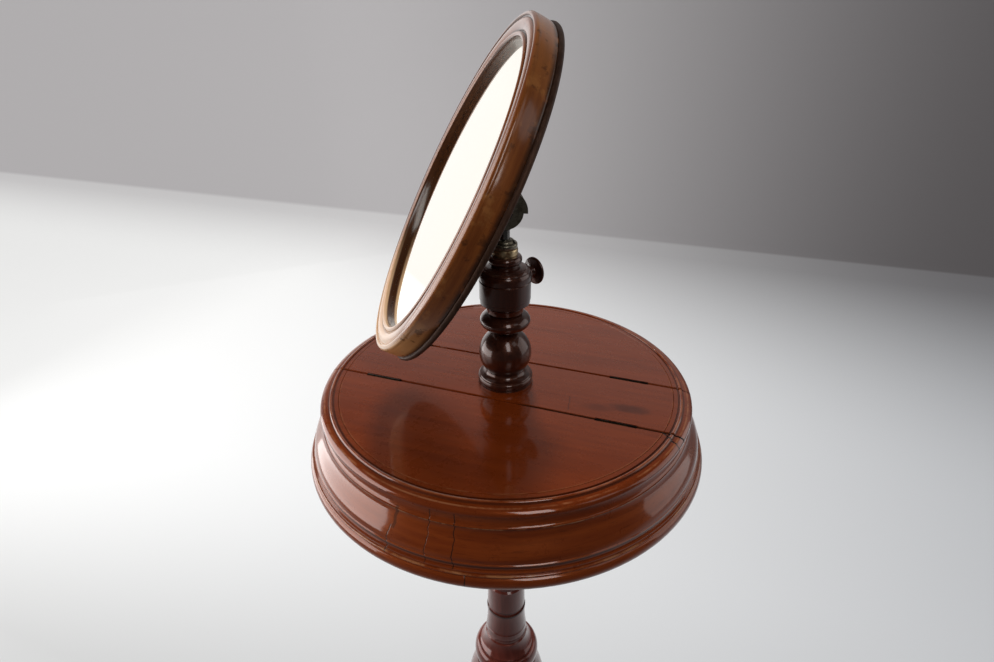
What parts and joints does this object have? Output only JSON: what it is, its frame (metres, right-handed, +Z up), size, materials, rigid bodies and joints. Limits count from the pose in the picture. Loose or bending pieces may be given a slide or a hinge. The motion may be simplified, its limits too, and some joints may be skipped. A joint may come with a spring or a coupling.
{
  "type": "shaving stand with mirror",
  "caption": "Floor-standing shaving stand: round tilting mirror on a telescopic rod, turned pillar, round top with hinged lids over compartments, turned pedestal on cabriole legs.",
  "frame": {"origin": "on the floor, on the axis of the turned pedestal and pillar", "axes": "+Z up, X along the fixed strip between the lids, front lid towards -Y"},
  "size_m": [0.4019, 0.402, 1.3122],
  "materials": {
    "top_wood": "satin",
    "drum_wood": "satin",
    "dark_wood": "gloss",
    "pedestal_wood": "gloss",
    "frame_wood": "satin",
    "board_wood": "matte",
    "inner_wood": "matte",
    "brass": "aged",
    "bronzed_brass": "aged",
    "steel": "satin",
    "iron": "matte",
    "mirror": "gloss"
  },
  "bodies": {
    "stand": {"pedestal_base": "pedestal_wood", "pedestal_shaft": "pedestal_wood", "leg_front": "pedestal_wood", "leg_right": "pedestal_wood", "leg_left": "pedestal_wood", "brace_plate": "iron", "brace_screws": "iron", "drum_flange": "pedestal_wood", "flange_screws": "iron", "drum_bottom": "inner_wood", "bottom_screws": "iron", "base_moulding": "drum_wood", "drum_rim": "drum_wood", "front_partition": "inner_wood", "rear_partition": "inner_wood", "centre_block": "inner_wood", "centre_strip": "top_wood", "strip_hinge_leaves_front": "brass", "strip_hinge_leaves_rear": "brass", "hinge_pins_front": "brass", "hinge_pins_rear": "brass", "strip_hinge_screws": "brass", "pillar": "dark_wood", "brass_ring": "brass", "collar": "bronzed_brass", "collar_screws": "steel", "clamp_boss": "dark_wood", "clamp_nut": "brass"},
    "front_lid": {"front_lid": "top_wood", "front_lid_hinge_leaves": "brass", "front_lid_screws": "brass"},
    "rear_lid": {"rear_lid": "top_wood", "rear_lid_hinge_leaves": "brass", "rear_lid_screws": "brass"},
    "rod_runner": {"rod_runner": "brass"},
    "rod": {"rod": "steel", "rod_end_screw": "steel"},
    "mirror": {"mirror_bracket": "bronzed_brass", "bracket_screws": "steel", "pivot_screw": "steel", "pivot_nut": "steel", "pivot_washers": "brass", "mirror_frame": "frame_wood", "mirror_glass": "mirror", "glass_blocks": "inner_wood", "back_board": "board_wood", "back_screws": "steel"},
    "clamp_shoe": {"clamp_shoe": "brass"},
    "clamp_screw": {"clamp_screw": "steel", "clamp_knob": "dark_wood"}
  },
  "joints": [
    {"name": "front_lid_hinge", "type": "hinge", "parent": "stand", "child": "front_lid", "pos_m": [0, -0.0375, 0.9784], "axis": [-1, 0, 0], "range_deg": [0, 40]},
    {"name": "rear_lid_hinge", "type": "hinge", "parent": "stand", "child": "rear_lid", "pos_m": [0, 0.0375, 0.9784], "axis": [1, 0, 0], "range_deg": [0, 72]},
    {"name": "rod_slide", "type": "slide", "parent": "stand", "child": "rod_runner", "axis": [0, 0, 1], "range_m": [0, 0.24]},
    {"name": "rod_swivel", "type": "hinge", "parent": "rod_runner", "child": "rod", "pos_m": [0, 0, 0.7], "axis": [0, 0, 1], "continuous": true},
    {"name": "mirror_tilt", "type": "hinge", "parent": "rod", "child": "mirror", "pos_m": [0, 0, 1.1565], "axis": [-0.454, 0.891, 0], "range_deg": [-28, 62]},
    {"name": "clamp_travel", "type": "slide", "parent": "stand", "child": "clamp_shoe", "axis": [0.5299, 0.848, 0], "range_m": [0, 0.0015]},
    {"name": "clamp_turn", "type": "hinge", "parent": "clamp_shoe", "child": "clamp_screw", "pos_m": [0, 0, 1.0893], "axis": [0.5299, 0.848, 0], "range_deg": [0, 540]}
  ],
  "couplings": [
    {"joint": "clamp_travel", "follows": "clamp_turn", "m_per_rad": 0.00015915}
  ]
}
